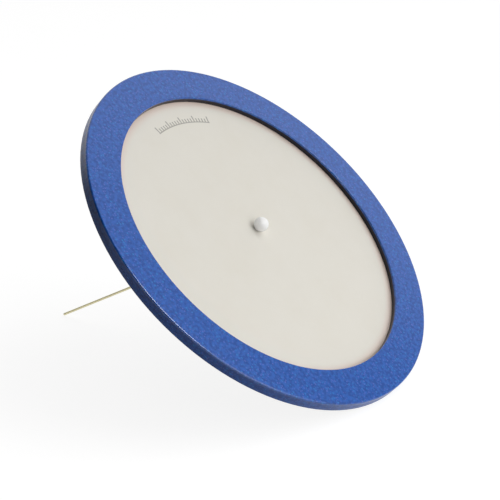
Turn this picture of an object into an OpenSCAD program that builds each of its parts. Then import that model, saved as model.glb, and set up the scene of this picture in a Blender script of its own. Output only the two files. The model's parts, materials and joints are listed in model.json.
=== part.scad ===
// Flat ring disc with a taut recessed sheet, a bead just above its middle and a swivelling prop rod.
// It stands leaning back: its rim and the rod's tip touch the ground at z = 0.
// Origin: on the ground, at the middle of the footprint. The disc faces -Y and up; the rod points to +Y.
// The disc's own pieces are drawn in disc coordinates: z = 0 is the front face, y points up the disc.

/* [Ring] */
// Outside diameter of the disc
disc_d = 305; // [220:1:380]
// Width of the ring, from its outside to its window
ring_w = 28.4; // [18:0.2:40]
// Thickness of the ring behind its facing, down to the sheet
ring_t = 3.6; // [2:0.1:9]
// Thickness of the flecked facing
facing_t = 1.6; // [1.4:0.1:2.4]
// Rounding of the facing's outer edge
facing_round = 1.2; // [0.4:0.1:1.3]
// Rounding of the facing's edge at the window
window_round = 0.5; // [0.2:0.1:1]
// Thickness of the clamping ring behind
back_t = 3.6; // [1.4:0.1:6]
// Rounding of the clamping ring's rear edges
back_round = 0.6; // [0.2:0.1:0.8]
// Bevel at the glue line between the two rings
seam_bevel = 0.1; // [0.05:0.05:0.3]

/* [Sheet] */
// Thickness of the taut sheet
sheet_t = 0.5; // [0.3:0.1:0.8]
// How far the sheet reaches under the ring
sheet_grip = 14; // [8:0.5:16]
// Gap between the sheet's edge and its rebate
rebate_gap = 0.3; // [0.2:0.1:1]

/* [Bead] */
// Diameter of the bead
bead_d = 11; // [8:0.5:16]
// How much of the bead is cut off flat where it sits on the sheet
bead_flat = 0.7; // [0.7:0.1:2]
// How far up the disc from its middle the sheet's hole lies
hole_up = 3.5; // [0:0.5:8]
// Diameter of the bead's shank
shank_d = 4; // [3:0.25:4.5]
// How deep the shank goes into the socket
shank_grip = 10.5; // [6:0.25:12]
// Gap between the shank and what it passes through, on the radius
shank_gap = 0.05; // [0.02:0.01:0.1]
// Diameter of the washer behind the sheet
washer_d = 16; // [13:0.5:24]
// Thickness of the washer
washer_t = 0.8; // [0.5:0.1:1.5]

/* [Rod] */
// Diameter of the rod
rod_d = 2; // [1.4:0.1:2.6]
// Length of the rod from the centre of its ball to its tip
rod_len = 203; // [150:1:300]
// Chamfer at the rod's tip
rod_chamfer = 0.25; // [0.1:0.05:0.4]
// Diameter of the ball that ends the rod in its socket
ball_d = 4.4; // [3.6:0.1:5.2]
// Swing of the rod either side of the disc's axis
swing = 19.1; // [12:0.1:28]

/* [Socket] */
// Wall between the bead's shank and the ball's seat
seat_wall = 2.5; // [1:0.25:3]
// Diameter of the socket
socket_d = 11; // [10:0.5:16]
// Length of the socket behind the ball's centre
tail_len = 6; // [4:0.25:7]
// Thickness of the socket's wall at its mouth
mouth_wall = 1.2; // [0.8:0.1:2]
// Gap between the ball and its seat, on the radius
ball_gap = 0.05; // [0.02:0.01:0.1]
// How far behind the ball's centre the lip that traps it ends, as a share of the ball's radius
lip_share = 0.4; // [0.3:0.05:0.5]
// Gap between the rod and the flare when the rod is at its stop
stop_gap = 0.15; // [0.1:0.05:0.3]

/* [Hidden] */

$fn = 180;
small_fn = 64;
cut = 0.01;

disc_r = disc_d / 2;
window_r = disc_r - ring_w;
sheet_r = window_r + sheet_grip;
rod_r = rod_d / 2;
ball_r = ball_d / 2;
bead_r = bead_d / 2;
shank_r = shank_d / 2;

// Heights in disc coordinates, from the front face at 0 to the rear face
ring_front = -facing_t;
sheet_front = ring_front - ring_t;
sheet_back = sheet_front - sheet_t;
disc_back = sheet_front - back_t;
washer_back = sheet_back - washer_t;
shank_end = washer_back - shank_grip;
ball_z = shank_end - seat_wall - ball_gap - ball_r;
socket_back = ball_z - tail_len;

// The lower corner of the rod's tip touches the ground, and so does the rounded rear edge of the rim:
// the lean turns the line that is tangent to both down to the horizontal. The rod is full up to tip_len.
tip_len = rod_len - rod_chamfer;
tip_y = hole_up + tip_len * sin(swing) - rod_r * cos(swing);
tip_z = ball_z - tip_len * cos(swing) - rod_r * sin(swing);
heel_y = back_round - disc_r;
heel_z = disc_back + back_round;
heel_to_tip = norm([heel_y - tip_y, heel_z - tip_z]);
lean = atan2(heel_y - tip_y, heel_z - tip_z) + acos(back_round / heel_to_tip);

// Where the disc's front centre stands above the ground, and where the footprint's middle falls
disc_up = back_round - heel_y * sin(lean) - heel_z * cos(lean);
toe_y = (facing_round - disc_r) * cos(lean) + facing_round * sin(lean) - facing_round;
rod_end_y = (hole_up + rod_len * sin(swing)) * cos(lean) - (ball_z - rod_len * cos(swing)) * sin(lean);
rod_dip = 90 - swing - lean;
far_y = rod_end_y + (rod_r - rod_chamfer) * sin(rod_dip);
disc_along = -(toe_y + far_y) / 2;

module on_disc() {
    translate([0, disc_along, disc_up]) rotate([lean, 0, 0]) children();
}

// The hub's pieces are drawn round the axis that it turns about, which passes through the sheet's hole
module on_hub() {
    on_disc() translate([0, hole_up, 0]) children();
}

// What a rounded corner loses, for a corner that points to +x and +y with its arc centred on the origin
module corner_waste(radius) {
    difference() {
        square(radius + cut);
        circle(radius, $fn = small_fn);
    }
}

// What the two corners of a ring's section lose at its top
module top_waste(inner, outer, high, inner_round, outer_round) {
    if (outer_round > 0)
        translate([outer - outer_round, high - outer_round]) corner_waste(outer_round);
    if (inner_round > 0)
        translate([inner + inner_round, high - inner_round]) mirror([1, 0]) corner_waste(inner_round);
}

// A turned ring from the window to the outside: a rectangle from low to high, with the given roundings
module turned_ring(low, high, inner_top = 0, outer_top = 0, bottom = 0) {
    rotate_extrude() difference() {
        translate([window_r, low]) square([ring_w, high - low]);
        top_waste(window_r, disc_r, high, inner_top, outer_top);
        mirror([0, 1]) top_waste(window_r, disc_r, -low, bottom, bottom);
    }
}

// The hole that the bead's shank goes into, through a piece from low upwards
module shank_hole(low, depth) {
    translate([0, 0, low - cut]) cylinder(r = shank_r + shank_gap, h = depth + 2 * cut, $fn = small_fn);
}

// The bevel that each ring has at the glue line, a cone's edge at the outside
module seam_groove() {
    rotate_extrude() polygon([
        [disc_r - seam_bevel, sheet_front],
        [disc_r + cut, sheet_front - seam_bevel - cut],
        [disc_r + cut, sheet_front + seam_bevel + cut]
    ]);
}

module front_ring() {
    color("#22386a") on_disc() difference() {
        turned_ring(sheet_front, ring_front);
        seam_groove();
    }
}

module face_laminate() {
    color("#3060a8") on_disc() turned_ring(ring_front, 0, window_round, facing_round);
}

module back_ring() {
    color("#22386a") on_disc() difference() {
        turned_ring(disc_back, sheet_front, bottom = back_round);
        seam_groove();
        translate([0, 0, sheet_back]) cylinder(r = sheet_r + rebate_gap, h = sheet_t + cut);
    }
}

module head_sheet() {
    color("#dcd9ce") on_disc() difference() {
        translate([0, 0, sheet_back]) cylinder(r = sheet_r, h = sheet_t);
        translate([0, hole_up, 0]) shank_hole(sheet_back, sheet_t);
    }
}

module bead() {
    color("white") on_hub() {
        difference() {
            translate([0, 0, sheet_front + bead_r - bead_flat]) sphere(bead_r, $fn = small_fn);
            translate([-bead_r, -bead_r, sheet_front - bead_d]) cube([bead_d, bead_d, bead_d]);
        }
        translate([0, 0, shank_end])
            cylinder(r = shank_r, h = sheet_front - shank_end + cut, $fn = small_fn);
    }
}

module rear_washer() {
    color("#e4e0d4") on_hub() difference() {
        translate([0, 0, washer_back]) cylinder(d = washer_d, h = washer_t, $fn = small_fn);
        shank_hole(washer_back, washer_t);
    }
}

// Radius of the flare at a distance behind the ball's centre: a rod at its stop lies along it
function flare_r(behind) = behind * tan(swing) + (rod_r + stop_gap) / cos(swing);

module rod_socket() {
    mouth_r = flare_r(tail_len);
    flare_top = lip_share * ball_r;
    color("#e9e7e1") on_hub() difference() {
        union() {
            translate([0, 0, ball_z]) cylinder(d = socket_d, h = washer_back - ball_z, $fn = small_fn);
            translate([0, 0, socket_back])
                cylinder(r1 = mouth_r + mouth_wall, r2 = socket_d / 2, h = tail_len, $fn = small_fn);
        }
        shank_hole(shank_end, shank_grip);
        translate([0, 0, ball_z]) sphere(ball_r + ball_gap, $fn = small_fn);
        translate([0, 0, socket_back - cut])
            cylinder(r1 = flare_r(tail_len + cut), r2 = flare_r(flare_top),
                     h = tail_len + cut - flare_top, $fn = small_fn);
    }
}

module rod() {
    color("#b9a55a") on_hub() translate([0, 0, ball_z]) rotate([180 + swing, 0, 0]) {
        sphere(ball_r, $fn = small_fn);
        cylinder(r = rod_r, h = tip_len, $fn = small_fn);
        translate([0, 0, tip_len])
            cylinder(r1 = rod_r, r2 = rod_r - rod_chamfer, h = rod_chamfer, $fn = small_fn);
    }
}

front_ring();
face_laminate();
head_sheet();
back_ring();
bead();
rear_washer();
rod_socket();
rod();
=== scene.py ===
# The looks of a flat ring disc on a swivelling prop rod: finishes, a plain studio and the camera, in metres.
import json
import math

import bpy
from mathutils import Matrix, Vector


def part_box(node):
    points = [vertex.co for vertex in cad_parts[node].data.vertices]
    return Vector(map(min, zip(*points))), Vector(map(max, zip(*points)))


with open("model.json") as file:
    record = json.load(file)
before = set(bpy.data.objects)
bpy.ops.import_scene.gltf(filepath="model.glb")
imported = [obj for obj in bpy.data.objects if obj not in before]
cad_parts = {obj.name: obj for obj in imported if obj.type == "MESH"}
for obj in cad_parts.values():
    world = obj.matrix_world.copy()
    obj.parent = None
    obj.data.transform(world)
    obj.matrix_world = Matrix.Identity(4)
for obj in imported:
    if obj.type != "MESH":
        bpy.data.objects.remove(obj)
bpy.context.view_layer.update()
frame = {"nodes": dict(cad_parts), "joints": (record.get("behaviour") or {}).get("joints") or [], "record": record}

MM = 0.001
NODES = frame["nodes"]
RECORD = frame["record"]
JOINTS = {joint["name"]: joint for joint in frame["joints"]}
MOUNTS = {mount["name"]: mount for mount in RECORD["mounts"]}

# ---------------------------------------------------------------- places, all worked out from the frame

DISC_AXIS = Vector(JOINTS["seat_turn"]["axis"]).normalized()
SHEET_LOW, SHEET_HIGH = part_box("head_sheet")
SHEET_MIDDLE = (SHEET_LOW + SHEET_HIGH) / 2
RING_MIDDLE = Vector(MOUNTS["front_face"]["pos_m"])
# From the disc's front face back to the middle of the sheet's thickness
FRONT_DEPTH = (RING_MIDDLE - SHEET_MIDDLE).dot(DISC_AXIS)
FRONT_CENTRE = SHEET_MIDDLE + FRONT_DEPTH * DISC_AXIS
UP_THE_DISC = (RING_MIDDLE - FRONT_CENTRE).normalized()
LEAN = math.atan2(UP_THE_DISC.z, UP_THE_DISC.y)
RING_LOW, RING_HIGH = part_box("face_laminate")
DISC_RADIUS = (RING_HIGH.x - RING_LOW.x) / 2
MID_RADIUS = (RING_MIDDLE - FRONT_CENTRE).length
WINDOW_RADIUS = 2 * MID_RADIUS - DISC_RADIUS
BALL_CENTRE = Vector(JOINTS["rod_tilt"]["pos_m"])
# The rod's far end is what lies beyond this share of its reach
TIP_SHARE = 0.995


def rod_direction():
    """The direction from the rod's ball to the middle of its far end."""
    points = [vertex.co for vertex in NODES["rod"].data.vertices]
    reach = max((point - BALL_CENTRE).length for point in points)
    tip = [point for point in points if (point - BALL_CENTRE).length > TIP_SHARE * reach]
    return (sum(tip, Vector()) / len(tip) - BALL_CENTRE).normalized()


ROD_AXIS = rod_direction()
ROD_DIP = math.atan2(-ROD_AXIS.z, ROD_AXIS.y)

# ---------------------------------------------------------------- node helpers


class Tree:
    """A node tree with short calls for the nodes that this script uses."""

    def __init__(self, tree):
        self.tree = tree
        self.tree.nodes.clear()

    def node(self, kind, settings=None, **inputs):
        made = self.tree.nodes.new(kind)
        for name, value in (settings or {}).items():
            setattr(made, name, value)
        for name, value in inputs.items():
            self.put(made.inputs[name.replace("_", " ")], value)
        return made

    def put(self, socket, value):
        if isinstance(value, bpy.types.NodeSocket):
            self.tree.links.new(value, socket)
        else:
            socket.default_value = value

    def math(self, operation, first, second=0.0):
        made = self.node("ShaderNodeMath", {"operation": operation})
        self.put(made.inputs[0], first)
        self.put(made.inputs[1], second)
        return made.outputs[0]

    def add(self, first, second):
        return self.math("ADD", first, second)

    def less(self, first, second):
        return self.math("SUBTRACT", first, second)

    def times(self, first, second):
        return self.math("MULTIPLY", first, second)

    def vector(self, operation, first, second=(0, 0, 0)):
        made = self.node("ShaderNodeVectorMath", {"operation": operation})
        self.put(made.inputs[0], first)
        self.put(made.inputs[1], second)
        number = operation in ("LENGTH", "DOT_PRODUCT")
        return made.outputs[1 if number else 0]

    def stretch(self, vector, factors):
        return self.vector("MULTIPLY", vector, factors)

    def parts(self, vector):
        return self.node("ShaderNodeSeparateXYZ", Vector=vector).outputs

    def radius(self, place):
        """How far the place is from its own Z axis, which is the disc's axis in a place on the disc."""
        return self.vector("LENGTH", self.stretch(place, (1, 1, 0)))

    def step(self, value, low, high):
        """0 at low, 1 at high, smooth between them and level beyond; low may be the greater of the two."""
        made = self.node(
            "ShaderNodeMapRange", {"interpolation_type": "SMOOTHSTEP"},
            Value=value, From_Min=low, From_Max=high)
        return made.outputs[0]

    def span(self, value, low, high):
        """A 0 to 1 value stretched to run from low to high."""
        return self.node("ShaderNodeMapRange", Value=value, To_Min=low, To_Max=high).outputs[0]

    def mix(self, share, first, second):
        """The first colour where share is 0, and the second where it is 1."""
        made = self.node("ShaderNodeMix", {"data_type": "RGBA"})
        self.put(made.inputs[0], share)
        self.put(made.inputs[6], first)
        self.put(made.inputs[7], second)
        return made.outputs[2]

    def noise(self, place, size, detail=2.0, roughness=0.5, seed=0.0):
        """Noise whose blobs are about size across, in the place's own unit."""
        made = self.node(
            "ShaderNodeTexNoise", {"noise_dimensions": "4D"},
            Vector=place, Scale=1 / size, Detail=detail, Roughness=roughness, W=seed)
        return made.outputs[0]

    def cells(self, place, size):
        """Cells about size across: the distance from a cell's own point, in sizes, and its random colour."""
        made = self.node("ShaderNodeTexVoronoi", Vector=place, Scale=1 / size)
        return made.outputs["Distance"], made.outputs["Color"]

    def bump(self, height, depth, strength):
        """The normal of a relief whose height of 1 stands for depth metres."""
        made = self.node("ShaderNodeBump", Height=height, Distance=depth, Strength=strength)
        return made.outputs[0]

    def place(self, origin, turn):
        """The object's own coordinates, in millimetres from origin, along axes turned about X."""
        own = self.node("ShaderNodeTexCoord").outputs["Object"]
        turned = self.node(
            "ShaderNodeMapping", {"vector_type": "TEXTURE"},
            Vector=own, Location=origin, Rotation=(turn, 0, 0), Scale=(MM, MM, MM))
        return turned.outputs[0]


def rgb(red, green, blue):
    return (red, green, blue, 1.0)


def grey(level):
    return rgb(level, level, level)


def new_material(name):
    material = bpy.data.materials.new(name)
    material.use_nodes = True
    return material, Tree(material.node_tree)


def surface(tree, **inputs):
    """The finished surface: a Principled shader with these inputs."""
    shader = tree.node("ShaderNodeBsdfPrincipled", **inputs)
    tree.node("ShaderNodeOutputMaterial", Surface=shader.outputs[0])


def dress(node, material):
    """Puts the material on a CAD node."""
    mesh = NODES[node].data
    mesh.materials.clear()
    mesh.materials.append(material)


# ---------------------------------------------------------------- finishes
# Sizes here are in millimetres, apart from those that are multiplied by MM, which are in metres.

BLUE = rgb(0.014, 0.104, 0.450)
BLUE_DEEP = rgb(0.007, 0.066, 0.320)
FLECK_LILAC = rgb(0.062, 0.128, 0.510)
FLECK_CYAN = rgb(0.015, 0.165, 0.520)
PAINT_BLACK = rgb(0.006, 0.006, 0.013)
PAINT_GREY = rgb(0.014, 0.014, 0.020)
SHEET_CREAM = rgb(0.710, 0.686, 0.622)
SHEET_SHADE = rgb(0.692, 0.664, 0.592)
# Painted shade: the sheet darker and warmer near the window, standing for the shadow of the ring's wall
SHEET_PAINTED_SHADE = rgb(0.690, 0.570, 0.500)
PRINT_GREY = rgb(0.290, 0.280, 0.250)
BEAD_WHITE = rgb(0.980, 0.978, 0.990)
BEAD_SHADE = rgb(0.955, 0.950, 0.975)
BRASS = rgb(0.690, 0.640, 0.410)
BRASS_DULL = rgb(0.540, 0.480, 0.290)
FIBRE = rgb(0.640, 0.590, 0.470)
FIBRE_DARK = rgb(0.450, 0.390, 0.290)
IVORY = rgb(0.760, 0.740, 0.660)
IVORY_SHADE = rgb(0.700, 0.670, 0.580)

# The least and the greatest roughness of each finish, the rod's without its tarnish
ROUGHNESS = {
    "facing": (0.12, 0.20),
    "ring": (0.24, 0.38),
    "sheet": (0.45, 0.58),
    "bead": (0.16, 0.26),
    "washer": (0.70, 0.90),
    "socket": (0.25, 0.40),
    "rod": (0.32, 0.46),
}
# How deep the relief of each finish is, and how strongly it shows
RELIEF = {
    "facing": (0.02 * MM, 0.4),
    "ring": (0.03 * MM, 0.5),
    "sheet": (0.02 * MM, 0.35),
    "bead": (0.02 * MM, 0.3),
    "washer": (0.06 * MM, 0.6),
    "socket": (0.01 * MM, 0.5),
    "rod": (0.01 * MM, 0.4),
}
# The specular level of the finishes that don't have the usual 0.5
SPECULAR = {"facing": 0.6, "ring": 0.32, "sheet": 0.3}

# Half the width of the soft border between two paints, and the depth inside the sheet over which its print
# fades out, so that none of it shows behind
BORDER = 0.1

# Each kind of fleck: the size of its cells, which hold one fleck or none, its colour, and a shift that sets
# its pattern apart
FLECKS = (
    {"cell": 1.8, "colour": FLECK_LILAC, "shift": 0.0},
    {"cell": 2.3, "colour": FLECK_CYAN, "shift": 40.0},
)
# A fleck is full up to its core and gone at its rim, as shares of its cell's size
FLECK_CORE = 0.22
FLECK_RIM = 0.48
# Cells whose random number, from 0 to 1, is below this have no fleck
FLECK_CHANCE = 0.45

# How much black darkens the blue of the rings' outer wall, as painted shade
WALL_PAINTED_SHADE = 0.1
# How far in from the outside the back ring is blue, so that its rear face is black
BACK_BLUE_WIDTH = 0.35

# How far in from the window the sheet's painted shade, warm and darker, reaches
SHEET_PAINTED_SHADE_WIDTH = 8
INK_STRENGTH = 0.85

BEAD_SCATTER = 20 * MM
SAME_FOR_EVERY_COLOUR = (1.0, 1.0, 1.0)

# A factor below 1 draws the pattern out along Y: up the disc in the fibres, along the rod in the streaks
FIBRE_STRETCH = (1, 0.25, 1)
STREAK_STRETCH = (1, 0.02, 1)
LATHE_PITCH = 0.4
# What a patch of tarnish takes of the dull colour, and what it adds to the roughness
TARNISH = 0.5
TARNISH_ROUGHNESS = 0.1


def flecked_blue(tree, place):
    """The ring's blue: a finely mottled ground with small light flecks of two kinds."""
    mottle = tree.step(tree.noise(place, size=3), low=0.38, high=0.62)
    colour = tree.mix(mottle, BLUE_DEEP, BLUE)
    for fleck in FLECKS:
        moved = tree.vector("ADD", place, (fleck["shift"],) * 3)
        distance, chance = tree.cells(moved, fleck["cell"])
        strength = tree.step(tree.parts(chance)[0], FLECK_CHANCE, 1.0)
        dot = tree.step(distance, FLECK_RIM, FLECK_CORE)
        colour = tree.mix(tree.times(dot, strength), colour, fleck["colour"])
    return colour


def facing_material():
    """Semi-gloss flecked facing."""
    material, tree = new_material("facing")
    place = tree.place(FRONT_CENTRE, LEAN)
    blotches = tree.noise(place, size=5, seed=3)
    ripple = tree.noise(place, size=1.2, seed=5)
    surface(
        tree,
        Base_Color=flecked_blue(tree, place),
        Roughness=tree.span(blotches, *ROUGHNESS["facing"]),
        Specular_IOR_Level=SPECULAR["facing"],
        Normal=tree.bump(ripple, *RELIEF["facing"]))
    return material


def ring_material(name, blue_from):
    """Satin paint: the facing's blue, darkened a little by painted shade, beyond blue_from, a radius in
    millimetres, and black inside it.
    """
    material, tree = new_material(name)
    place = tree.place(FRONT_CENTRE, LEAN)
    outside = tree.step(tree.radius(place), blue_from - BORDER, blue_from + BORDER)
    worn = tree.step(tree.noise(place, size=6, detail=5, roughness=0.65), low=0.45, high=0.75)
    black = tree.mix(worn, PAINT_BLACK, PAINT_GREY)
    # Painted shade: a little black darkens the wall's blue all round
    blue = tree.mix(WALL_PAINTED_SHADE, flecked_blue(tree, place), PAINT_BLACK)
    blotches = tree.noise(place, size=4, seed=9)
    grain = tree.noise(place, size=0.8, detail=3)
    surface(
        tree,
        Base_Color=tree.mix(outside, black, blue),
        Roughness=tree.span(blotches, *ROUGHNESS["ring"]),
        Specular_IOR_Level=SPECULAR["ring"],
        Normal=tree.bump(grain, *RELIEF["ring"]))
    return material


# The printed scale: its middle, across and up the disc, and half its length along the arc
SCALE_CENTRE = (8.5, 105.0)
SCALE_HALF_LENGTH = 31.0
# Its strokes, with heights counted outward from the arc through the scale's middle
SCALE_PITCH = 3.0
STROKES_PER_LONG = 5
STROKE_WIDTH = 1.2
SHORT_STROKE = {"middle": 0.8, "half": 1.8}
LONG_STROKE = {"middle": 2.0, "half": 3.0}
# The line that the strokes stand on
LINE_HEIGHT = -1.0
LINE_WIDTH = 0.9
INK_BLUR = 0.25


def within(tree, value, half):
    """1 where value lies between -half and half, with a soft edge."""
    size = tree.math("ABSOLUTE", value)
    return tree.step(size, half + INK_BLUR / 2, half - INK_BLUR / 2)


def printed_scale(tree, place):
    """A plain scale of short strokes on an arc near the top of the sheet, as a mask."""
    scale_radius = math.hypot(*SCALE_CENTRE)
    scale_angle = math.atan2(SCALE_CENTRE[1], SCALE_CENTRE[0])
    across, up, _ = tree.parts(place)
    angle = tree.less(tree.math("ARCTAN2", up, across), scale_angle)
    along = tree.times(angle, scale_radius)
    high = tree.less(tree.radius(place), scale_radius)
    ink = within(tree, tree.less(high, LINE_HEIGHT), LINE_WIDTH / 2)
    for pitch, stroke in ((SCALE_PITCH, SHORT_STROKE), (STROKES_PER_LONG * SCALE_PITCH, LONG_STROKE)):
        beside = within(tree, tree.math("PINGPONG", along, pitch / 2), STROKE_WIDTH / 2)
        level = within(tree, tree.less(high, stroke["middle"]), stroke["half"])
        ink = tree.math("MAXIMUM", ink, tree.times(beside, level))
    return tree.times(ink, within(tree, along, SCALE_HALF_LENGTH))


def sheet_material():
    """Coated film with a faint mottle, painted shade, warm and darker, at the window's edge, and the printed
    scale.
    """
    material, tree = new_material("sheet")
    place = tree.place(FRONT_CENTRE, LEAN)
    mottle = tree.step(tree.noise(place, size=30, detail=3, roughness=0.6), low=0.30, high=0.90)
    colour = tree.mix(mottle, SHEET_CREAM, SHEET_SHADE)
    window = WINDOW_RADIUS / MM
    # Painted shade: darker and warmer towards the window, for the shadow that the ring's wall casts on the sheet
    edge = tree.step(tree.radius(place), window - SHEET_PAINTED_SHADE_WIDTH, window)
    colour = tree.mix(edge, colour, SHEET_PAINTED_SHADE)
    sheet_middle = -FRONT_DEPTH / MM
    in_front = tree.step(tree.parts(place)[2], sheet_middle, sheet_middle + BORDER)
    ink = tree.times(printed_scale(tree, place), in_front)
    grain = tree.noise(place, size=0.7, detail=3)
    surface(
        tree,
        Base_Color=tree.mix(tree.times(ink, INK_STRENGTH), colour, PRINT_GREY),
        Roughness=tree.span(grain, *ROUGHNESS["sheet"]),
        Specular_IOR_Level=SPECULAR["sheet"],
        Normal=tree.bump(grain, *RELIEF["sheet"]))
    return material


def bead_material():
    """Glossy white with a faint lilac cast, into which light sinks and scatters."""
    material, tree = new_material("bead")
    place = tree.place(FRONT_CENTRE, LEAN)
    cloud = tree.noise(place, size=3)
    ripple = tree.noise(place, size=1.5, seed=2)
    surface(
        tree,
        Base_Color=tree.mix(cloud, BEAD_WHITE, BEAD_SHADE),
        Roughness=tree.span(cloud, *ROUGHNESS["bead"]),
        Subsurface_Weight=1.0,
        Subsurface_Radius=SAME_FOR_EVERY_COLOUR,
        Subsurface_Scale=BEAD_SCATTER,
        Normal=tree.bump(ripple, *RELIEF["bead"]))
    return material


def washer_material():
    """Matt fibre board."""
    material, tree = new_material("washer")
    place = tree.place(FRONT_CENTRE, LEAN)
    fibres = tree.noise(tree.stretch(place, FIBRE_STRETCH), size=0.8, detail=4, roughness=0.7)
    surface(
        tree,
        Base_Color=tree.mix(tree.step(fibres, low=0.4, high=0.7), FIBRE, FIBRE_DARK),
        Roughness=tree.span(fibres, *ROUGHNESS["washer"]),
        Normal=tree.bump(fibres, *RELIEF["washer"]))
    return material


def socket_material():
    """Smooth turned plastic with faint rings from the lathe."""
    material, tree = new_material("socket")
    place = tree.place(FRONT_CENTRE, LEAN)
    turning = tree.math("SINE", tree.times(tree.parts(place)[2], 2 * math.pi / LATHE_PITCH))
    cloud = tree.noise(place, size=4, detail=3)
    surface(
        tree,
        Base_Color=tree.mix(cloud, IVORY, IVORY_SHADE),
        Roughness=tree.span(cloud, *ROUGHNESS["socket"]),
        Normal=tree.bump(turning, *RELIEF["socket"]))
    return material


def rod_material():
    """Drawn brass: streaks along the rod and a slight, patchy tarnish."""
    material, tree = new_material("rod")
    place = tree.place(BALL_CENTRE, -ROD_DIP)
    streaks = tree.noise(tree.stretch(place, STREAK_STRETCH), size=0.25, detail=3)
    patches = tree.step(tree.noise(place, size=12, detail=4, roughness=0.6), low=0.45, high=0.75)
    drawn = tree.span(streaks, *ROUGHNESS["rod"])
    surface(
        tree,
        Base_Color=tree.mix(tree.times(patches, TARNISH), BRASS, BRASS_DULL),
        Metallic=1.0,
        Roughness=tree.add(drawn, tree.times(patches, TARNISH_ROUGHNESS)),
        Normal=tree.bump(streaks, *RELIEF["rod"]))
    return material


def dress_all():
    """Every CAD node keeps its shape and gets its finish."""
    rear_black_to = DISC_RADIUS / MM - BACK_BLUE_WIDTH
    dress("face_laminate", facing_material())
    dress("front_ring", ring_material("ring_front", MID_RADIUS / MM))
    dress("back_ring", ring_material("ring_back", rear_black_to))
    dress("head_sheet", sheet_material())
    dress("bead", bead_material())
    dress("rear_washer", washer_material())
    dress("rod_socket", socket_material())
    dress("rod", rod_material())


# ---------------------------------------------------------------- studio

# Parts of the room: the way to each one's middle, and the cosines of the angle from it at which the part
# starts and is full
BRIGHT_SIDE = {"toward": (0.85, 0.05, 0.52), "starts": 0.30, "full": 0.80}
DARK_SIDE = {"toward": (-1, -1, 0), "starts": -0.44, "full": -0.25}
DIM_SIDE = {"toward": (-0.55, 0.83, 0.05), "starts": 0.75, "full": 0.92}
GLINT = {"toward": (-0.26, -0.64, 0.72), "starts": 0.945, "full": 0.970}
# In reflections: what the dark and the dim side leave of the room's brightness of 1, and what the glint adds
DARK_LEVEL = 0.0
DIM_LEVEL = 0.3
GLINT_LEVEL = 12.0
# As a source of light: how bright the room is away from its bright side, which has 1
AMBIENT = 0.03
# The dark side starts above the horizon, at these heights of a unit direction
ABOVE_HORIZON = {"starts": 0.05, "full": 0.10}

SOFTBOXES = {
    "key": {
        "azimuth": -57, "elevation": 47, "distance": 3.5,
        "width": 3.2, "height": 3.2, "power": 42},
    "front": {
        "azimuth": -96, "elevation": 17, "distance": 1.3,
        "width": 1.6, "height": 0.8, "power": 9.5},
}

FLOOR_RADIUS = 40
FLOOR_CORNERS = 64
FLOOR_SEEN = grey(0.26)
FLOOR_GLOW = 0.85
# The floor's colour for the light that it throws back: pale in front, and dark behind, as a painted shadow
FLOOR_FOR_LIGHT_FRONT = grey(0.60)
FLOOR_PAINTED_SHADOW_FOR_LIGHT = grey(0.04)
# The way across the floor to its front part, and how far that way, in metres, the part starts and is full
FLOOR_FRONT = {"toward": (0.45, -0.89, 0), "starts": -0.02, "full": 0.14}
WHITE = grey(1)


def part_mask(tree, direction, part):
    """1 for the directions in a part of the room, 0 for those outside it, and smooth between them."""
    cosine = tree.vector("DOT_PRODUCT", direction, tuple(Vector(part["toward"]).normalized()))
    return tree.step(cosine, part["starts"], part["full"])


def seen_directly(tree):
    """1 for camera, glossy and transmission rays, and 0 for those that only carry light."""
    path = tree.node("ShaderNodeLightPath").outputs
    glossy = tree.add(path["Is Glossy Ray"], path["Is Transmission Ray"])
    return tree.math("MINIMUM", tree.add(path["Is Camera Ray"], glossy), 1.0)


def make_world():
    """A white room that lights the object mostly from its bright side.

    Reflections alone show its dark side, its dim side and a small bright patch, the glint.
    """
    world = bpy.data.worlds.new("studio")
    world.use_nodes = True
    bpy.context.scene.world = world
    tree = Tree(world.node_tree)
    direction = tree.vector("NORMALIZE", tree.node("ShaderNodeTexCoord").outputs["Generated"])
    lighting = tree.span(part_mask(tree, direction, BRIGHT_SIDE), AMBIENT, 1.0)
    path = tree.node("ShaderNodeLightPath").outputs
    in_reflection = tree.less(1, path["Is Camera Ray"])
    above = tree.step(tree.parts(direction)[2], ABOVE_HORIZON["starts"], ABOVE_HORIZON["full"])
    dark = tree.times(tree.times(part_mask(tree, direction, DARK_SIDE), above), in_reflection)
    dim = tree.times(part_mask(tree, direction, DIM_SIDE), in_reflection)
    glint = tree.times(part_mask(tree, direction, GLINT), in_reflection)
    seen = tree.times(tree.span(dark, 1.0, DARK_LEVEL), tree.span(dim, 1.0, DIM_LEVEL))
    seen = tree.add(seen, tree.times(glint, GLINT_LEVEL))
    share = seen_directly(tree)
    strength = tree.add(tree.times(share, seen), tree.times(tree.less(1, share), lighting))
    room = tree.node("ShaderNodeBackground", Color=WHITE, Strength=strength)
    tree.node("ShaderNodeOutputWorld", Surface=room.outputs[0])


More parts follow.
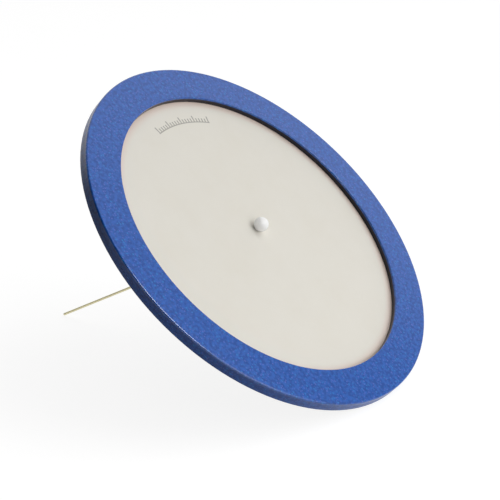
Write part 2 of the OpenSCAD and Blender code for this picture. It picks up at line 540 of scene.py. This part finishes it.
def make_floor():
    """A wide round floor that looks white where it is lit and keeps the object's soft shadow.

    Nearly all the light that it throws back onto the object comes from its front part, because its back part is a
    painted shadow, dark in the light that it throws.
    """
    bpy.ops.mesh.primitive_circle_add(vertices=FLOOR_CORNERS, radius=FLOOR_RADIUS, fill_type="NGON")
    floor = bpy.context.object
    floor.name = "floor"
    material, tree = new_material("floor")
    share = seen_directly(tree)
    place = tree.node("ShaderNodeTexCoord").outputs["Object"]
    toward_front = tree.vector("DOT_PRODUCT", place, FLOOR_FRONT["toward"])
    in_front = tree.step(toward_front, FLOOR_FRONT["starts"], FLOOR_FRONT["full"])
    # Painted shadow: the floor's back part throws back little light
    for_light = tree.mix(in_front, FLOOR_PAINTED_SHADOW_FOR_LIGHT, FLOOR_FOR_LIGHT_FRONT)
    plain = tree.node("ShaderNodeBsdfDiffuse", Color=tree.mix(share, for_light, FLOOR_SEEN))
    glow = tree.node("ShaderNodeEmission", Color=WHITE, Strength=tree.times(share, FLOOR_GLOW))
    both = tree.node("ShaderNodeAddShader")
    tree.put(both.inputs[0], plain.outputs[0])
    tree.put(both.inputs[1], glow.outputs[0])
    tree.node("ShaderNodeOutputMaterial", Surface=both.outputs[0])
    floor.data.materials.append(material)


def toward(azimuth, elevation):
    """The unit vector at an azimuth from +X towards +Y and an elevation, in radians."""
    flat = math.cos(elevation)
    return Vector((flat * math.cos(azimuth), flat * math.sin(azimuth), math.sin(elevation)))


def make_softbox(name, azimuth, elevation, distance, width, height, power):
    """An area light that faces the middle of the disc's front, at angles in degrees."""
    data = bpy.data.lights.new(name, "AREA")
    data.shape = "RECTANGLE"
    data.size = width
    data.size_y = height
    data.energy = power
    light = bpy.data.objects.new(name, data)
    bpy.context.scene.collection.objects.link(light)
    away = toward(math.radians(azimuth), math.radians(elevation))
    light.location = FRONT_CENTRE + distance * away
    light.rotation_euler = away.to_track_quat("Z", "Y").to_euler()
    light.visible_camera = False


# ---------------------------------------------------------------- camera

CAMERA_AZIMUTH = math.radians(-57.17)
CAMERA_ELEVATION = math.radians(18.36)
CAMERA_DISTANCE = 7.457 * DISC_RADIUS
AIM_LEFT = 0.071 * DISC_RADIUS
AIM_BELOW = 0.109 * DISC_RADIUS
FARTHEST_SEEN = 3 * FLOOR_RADIUS
# In millimetres, as Blender has them
SENSOR = 36.0
FOCAL = 110.4


def make_camera():
    """A long lens, a little above the disc and well to the left of its front, aimed just off its centre."""
    data = bpy.data.cameras.new("camera")
    data.sensor_width = SENSOR
    data.lens = FOCAL
    data.clip_end = FARTHEST_SEEN
    camera = bpy.data.objects.new("camera", data)
    bpy.context.scene.collection.objects.link(camera)
    camera.rotation_euler = (math.pi / 2 - CAMERA_ELEVATION, 0, CAMERA_AZIMUTH)
    turn = camera.rotation_euler.to_matrix()
    right, up, back = turn.col
    aim = FRONT_CENTRE - AIM_LEFT * right - AIM_BELOW * up
    camera.location = aim + CAMERA_DISTANCE * back
    bpy.context.scene.camera = camera


dress_all()
make_world()
make_floor()
for name, softbox in SOFTBOXES.items():
    make_softbox(name, **softbox)
make_camera()
bpy.context.scene.view_settings.view_transform = "Standard"
